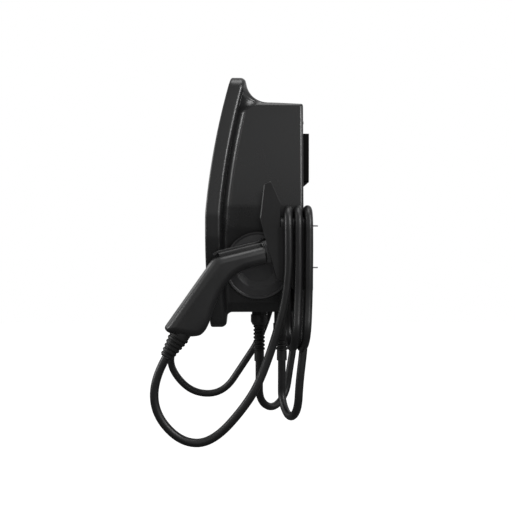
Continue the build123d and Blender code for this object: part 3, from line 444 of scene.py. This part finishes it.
for name, node in nodes.items():
    key = name.removeprefix("right_").removeprefix("left_")
    node.data.materials.clear()
    node.data.materials.append(FINISH[key])
print("finishes:", len({material.name for material in FINISH.values()}), "for", len(nodes), "nodes")

# %% [markdown]
# ## The cove behind the rim
#
# On the real moulding the housing runs into the rim through one smooth cove, about 17 mm deep on
# the sides and 46 mm over the top, and it widens round the corner between them. The solid model
# has two plain coves that end at the corner. A sweep along the housing's outline would do, but
# its radius has to change on the way, so the surface is worked out point by point: at each place
# on the outline, a hollow arc touches the housing's side and the rounded back of the rim. The
# sizes of both outlines are those of the solid model.

# %% Outlines of the housing and the rim
RIM_TOP, BELT_TOP = 0.171, -0.125
RIM_HALF_TOP, RIM_HALF_BELT, RIM_CORNER = 0.105, 0.125, 0.030
RIM_DEPTH, RIM_ROUND = 0.036, 0.012
BODY_TOP, BODY_BELT = 0.119, -0.106
BODY_HALF_TOP, BODY_HALF_BELT, BODY_CORNER = 0.088, 0.100, 0.012
BROW_RAKE, BROW_BOW = 0.0553, 0.0075
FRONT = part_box("front_cover")[0][1]
SIDE_STEPS, CORNER_STEPS, TOP_STEPS = 90, 24, 16


def rim_back(z):
    """The rim's back at a height: the front, straight at the belt and bowed above it, plus its depth."""
    share = np.clip((z - BELT_TOP) / (RIM_TOP - BELT_TOP), 0, 1)
    return FRONT + BROW_RAKE * share - 4 * BROW_BOW * share * (1 - share) + RIM_DEPTH


def rim_half(z):
    """Half the rim's width at a height: a straight line from the belt to the top."""
    share = np.clip((z - BELT_TOP) / (RIM_TOP - BELT_TOP), 0, 1)
    return RIM_HALF_BELT + (RIM_HALF_TOP - RIM_HALF_BELT) * share


# %% The housing's outline, from the right side over the top to the left side
def housing_path(low):
    """Points and outward directions: a leaning side, a round corner, then the level top, mirrored."""
    z = np.linspace(low, BODY_TOP - BODY_CORNER, SIDE_STEPS)
    lean = np.clip((z - BODY_BELT) / (BODY_TOP - BODY_BELT), 0, 1)
    side = np.stack([BODY_HALF_BELT + (BODY_HALF_TOP - BODY_HALF_BELT) * lean, z], 1)
    turn = np.linspace(0, np.pi / 2, CORNER_STEPS)[1:]
    out = np.stack([np.cos(turn), np.sin(turn)], 1)
    middle = np.array([side[-1, 0] - BODY_CORNER, BODY_TOP - BODY_CORNER])
    x = np.linspace(middle[0], 0, TOP_STEPS)[1:]
    top = np.stack([x, np.full_like(x, BODY_TOP)], 1)
    places = np.concatenate([side, middle + BODY_CORNER * out, top])
    sideways, upwards = np.tile([1.0, 0.0], (SIDE_STEPS, 1)), np.tile([0.0, 1.0], (len(x), 1))
    ways = np.concatenate([sideways, out, upwards])
    flip = np.array([-1.0, 1.0])
    return np.concatenate([places, places[-2::-1] * flip]), np.concatenate([ways, ways[-2::-1] * flip])


OVERHANG_MOST, OVERHANG_STEPS = 0.06, 601


def overhang(places, ways):
    """How far the rim stands out: the steps along each direction that are still inside its outline."""
    far = np.linspace(0, OVERHANG_MOST, OVERHANG_STEPS)
    spots = places[:, None, :] + far[None, :, None] * ways[:, None, :]
    x, z = np.abs(spots[..., 0]), spots[..., 1]
    middle = np.array([RIM_HALF_TOP - RIM_CORNER, RIM_TOP - RIM_CORNER])
    in_corner = (x > middle[0]) & (z > middle[1])
    near = np.hypot(x - middle[0], z - middle[1]) < RIM_CORNER
    inside = np.where(in_corner, near, (x < rim_half(z)) & (z < RIM_TOP))
    return inside.sum(1) * far[1]


# %% [markdown]
# Over the last stretch below the top the radius grows by a smooth step, and at the lower end it
# shrinks, so that the cove runs out. The sheet gets a back that is sunk into the housing and the
# rim, because an open sheet would show its edge.

# %% Rim cove
COVE_SIDE, COVE_TOP, COVE_LOW, COVE_STEPS = 0.017, 0.046, -0.165, 20
RISE_START = 0.095
FADE_LENGTH, FADE_LOSS = 0.045, 0.006
ARC_SINK, BACK_SINK, RIM_SINK, HOUSING_SINK = 0.0001, 0.0012, 0.004, 0.001


def cove_mesh(name):
    """A hollow arc of a changing radius, tangent to the housing and to the rim's round, with a back."""
    places, ways = housing_path(COVE_LOW)
    reach = overhang(places, ways)
    rise = np.clip((places[:, 1] - RISE_START) / (BODY_TOP - RISE_START), 0, 1)
    fade = np.clip((places[:, 1] - COVE_LOW) / FADE_LENGTH, 0, 1)
    radius = COVE_SIDE + (COVE_TOP - COVE_SIDE) * rise**2 * (3 - 2 * rise) - FADE_LOSS * (1 - fade) ** 2
    round_place = places + ways * (reach - RIM_ROUND)[:, None]
    round_y = rim_back(round_place[:, 1]) - RIM_ROUND
    across = radius + RIM_ROUND - reach
    along = np.sqrt(reach * (2 * (radius + RIM_ROUND) - reach))
    last = np.arctan2(along, across)
    angle = np.linspace(0, 1, COVE_STEPS)[None, :] * last[:, None]
    out = radius[:, None] * (1 - np.cos(angle))
    deep = (round_y + along)[:, None] - radius[:, None] * np.sin(angle)
    out[:, 0] -= ARC_SINK
    sunk = np.stack([np.full(len(places), -BACK_SINK)] * 2, 1)
    out = np.concatenate([out, sunk], 1)
    behind = np.stack([round_y + RIM_ROUND - RIM_SINK, deep[:, 0] - HOUSING_SINK], 1)
    deep = np.concatenate([deep, behind], 1)
    x = places[:, :1] + ways[:, :1] * out
    z = places[:, 1:] + ways[:, 1:] * out
    return grid_mesh(name, np.stack([x, deep, z], -1), closed=True)


rim_cove = cove_mesh("rim_cove")
rim_cove.data.materials.append(charcoal_rear)
for face in rim_cove.data.polygons:
    face.use_smooth = True
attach(rim_cove, "station")
print("rim cove:", len(rim_cove.data.polygons), "faces")

# %% [markdown]
# ## The roof's rear edge
#
# The housing's top falls by 4.5 mm towards the wall. In the solid model that cut goes through the
# 3 mm wall near the back and leaves a slot. The real roof is closed, so a thin plate lies in the
# slot, level with the sloping surface. Its edges are hidden in the wall around it. The slot could
# be filled in the loaded mesh instead, but a piece of its own leaves the solid as it came.

# %% Roof plate
SLOPE_START, SLOPE_END, SLOPE_FALL = -0.09125, -0.0084, 0.0045
PLATE_NEAR, PLATE_FAR, PLATE_HALF = -0.044, -0.0152, 0.080
PLATE_SINK, PLATE_THICKNESS = 0.00003, 0.0024


def roof_height(y):
    """The height of the sloping roof at a depth."""
    return BODY_TOP - SLOPE_FALL * (y - SLOPE_START) / (SLOPE_END - SLOPE_START)


near_top, far_top = roof_height(PLATE_NEAR) - PLATE_SINK, roof_height(PLATE_FAR) - PLATE_SINK
section = [
    (PLATE_NEAR, near_top), (PLATE_FAR, far_top),
    (PLATE_FAR, far_top - PLATE_THICKNESS), (PLATE_NEAR, near_top - PLATE_THICKNESS),
]
ends = [[(x, y, z) for y, z in section] for x in (-PLATE_HALF, PLATE_HALF)]
roof_plate = grid_mesh("roof_plate", np.array(ends), closed=True)
roof_plate.data.materials.append(charcoal_rear)
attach(roof_plate, "station")
print("roof plate:", round(near_top, 4), "m high in front,", round(far_top, 4), "m at the back")

# %% [markdown]
# ## Charging cables
#
# Each cable is one heavy, round cord of 17.5 mm. It leaves its gland downwards, turns up
# behind the hook, goes over it three times in two coils, swings forward in a big loop and ends
# in the connector. A swept solid would show its joints, so the cord is a spline with the
# route's points as its control points, which keeps every bend smooth.

# %% Cable routes
CABLE = 0.0175
RIGHT_ROUTE = [
    (30, -56, -431), (30, -56, -487), (31, -56.5, -542), (78, -42.5, -571),
    (126, -28, -542), (127, -25, -480), (121, -15, -405), (114, -11, -325),
    (111, -9.5, -255), (112, -10, -185), (112, -10, -128.3), (141, -10, -111.5),
    (170, -10, -128.3), (171, -9.5, -185), (173, -10, -250), (172, -11, -310),
    (190, -16, -382), (138, -22, -413), (86, -26, -382), (106, -28, -300),
    (111, -29.5, -235), (112, -29, -180), (112, -29.5, -128.3), (141, -30.5, -111.5),
    (170, -31, -128.3), (171, -31.5, -182), (172, -31, -250), (173, -33, -312),
    (190, -37, -382), (138, -42, -413), (86, -46, -382), (106, -48, -300),
    (111, -49.5, -235), (112, -49, -180), (112, -49.5, -128.3), (141, -51, -111.5),
    (170, -52, -128.3), (171, -51.5, -182), (170, -51, -242), (171, -61, -322),
    (176, -97.5, -437.5), (184, -130.5, -506.5), (183, -206, -592), (182, -271, -592),
    (181, -326, -530), (177, -324.1, -454.4), (170.7, -293.9, -406.5),
]
LEFT_ROUTE = [
    (-30, -105, -442), (-30, -105, -498), (-31, -104.5, -555), (-66, -71, -583),
    (-102, -37, -555), (-106, -28, -495), (-110, -17, -430), (-112, -11, -350),
    (-111, -9.5, -270), (-112, -10, -190), (-112, -10, -128.3), (-141, -10, -111.5),
    (-170, -10, -128.3), (-171, -9.5, -185), (-173, -10, -250), (-172, -11, -310),
    (-190, -16, -376), (-138, -22, -407), (-86, -26, -376), (-106, -28, -296),
    (-111, -29.5, -235), (-112, -29, -180), (-112, -29.5, -128.3), (-141, -30.5, -111.5),
    (-170, -31, -128.3), (-171, -31.5, -182), (-172, -31, -250), (-173, -33, -312),
    (-190, -37, -376), (-138, -42, -407), (-86, -46, -376), (-106, -48, -296),
    (-111, -49.5, -235), (-112, -49, -180), (-112, -49.5, -128.3), (-141, -51, -111.5),
    (-170, -52, -128.3), (-171, -51.5, -185), (-170, -52, -246), (-171, -62, -318),
    (-174, -96, -424), (-178, -139, -490), (-180, -191, -568), (-181, -270, -568),
    (-181, -325, -508), (-177, -324.1, -454.4), (-170.7, -293.9, -406.5),
]


# %% Cable curves
CORD_ORDER, RING_STEPS, SPAN_STEPS = 3, 6, 10


def cable(name, route):
    """A cord as a third order spline whose control points are the route's points."""
    curve = bpy.data.curves.new(name, "CURVE")
    curve.dimensions = "3D"
    curve.bevel_depth = CABLE / 2
    curve.bevel_resolution = RING_STEPS
    curve.resolution_u = SPAN_STEPS
    curve.use_fill_caps = True
    points = np.ones((len(route), 4))
    points[:, :3] = np.array(route) / 1000
    spline = curve.splines.new("NURBS")
    spline.points.add(len(route) - 1)
    spline.points.foreach_set("co", points.ravel())
    spline.order_u = CORD_ORDER
    spline.use_endpoint_u = True
    obj = bpy.data.objects.new(name, curve)
    bpy.context.scene.collection.objects.link(obj)
    return obj


# %% [markdown]
# The jacket is a satin thermoplastic, softer than the mouldings. It takes the same recipe with a
# coarser grain, smaller clouds, less gloss and no pale edges, because a round cord has no edge
# that rubs.

# %% Jacket
jacket = plastic(
    "cable_jacket", (0.0045, 0.0045, 0.0047), 0.38, grain=700, bump=0.05, wear=0.0, specular=0.38, cloud=25
)

cables = {}
for side, route in (("right", RIGHT_ROUTE), ("left", LEFT_ROUTE)):
    cord = cable(f"{side}_cable", route)
    cord.data.materials.append(jacket)
    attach(cord, "station")
    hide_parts(f"{side}_charge_cable")
    cables[side] = cord


# %% [markdown]
# A real cable is soft. Adding up the route would give too great a length, because the spline cuts
# the corners of its control points. So the length is measured on the curve itself and printed.

def curve_length(obj):
    """The length of a curve's centreline, measured on a copy without its bevel."""
    bare = obj.data.copy()
    bare.bevel_depth = 0
    probe = bpy.data.objects.new("probe", bare)
    bpy.context.scene.collection.objects.link(probe)
    mesh = bpy.data.meshes.new_from_object(probe)
    line = np.zeros(len(mesh.vertices) * 3)
    mesh.vertices.foreach_get("co", line)
    line = line.reshape(-1, 3)
    bpy.data.objects.remove(probe)
    return float(np.linalg.norm(np.diff(line, axis=0), axis=1).sum())


for side, route in (("right", RIGHT_ROUTE), ("left", LEFT_ROUTE)):
    print(side, "cable:", round(curve_length(cables[side]), 3), "m on its curve")
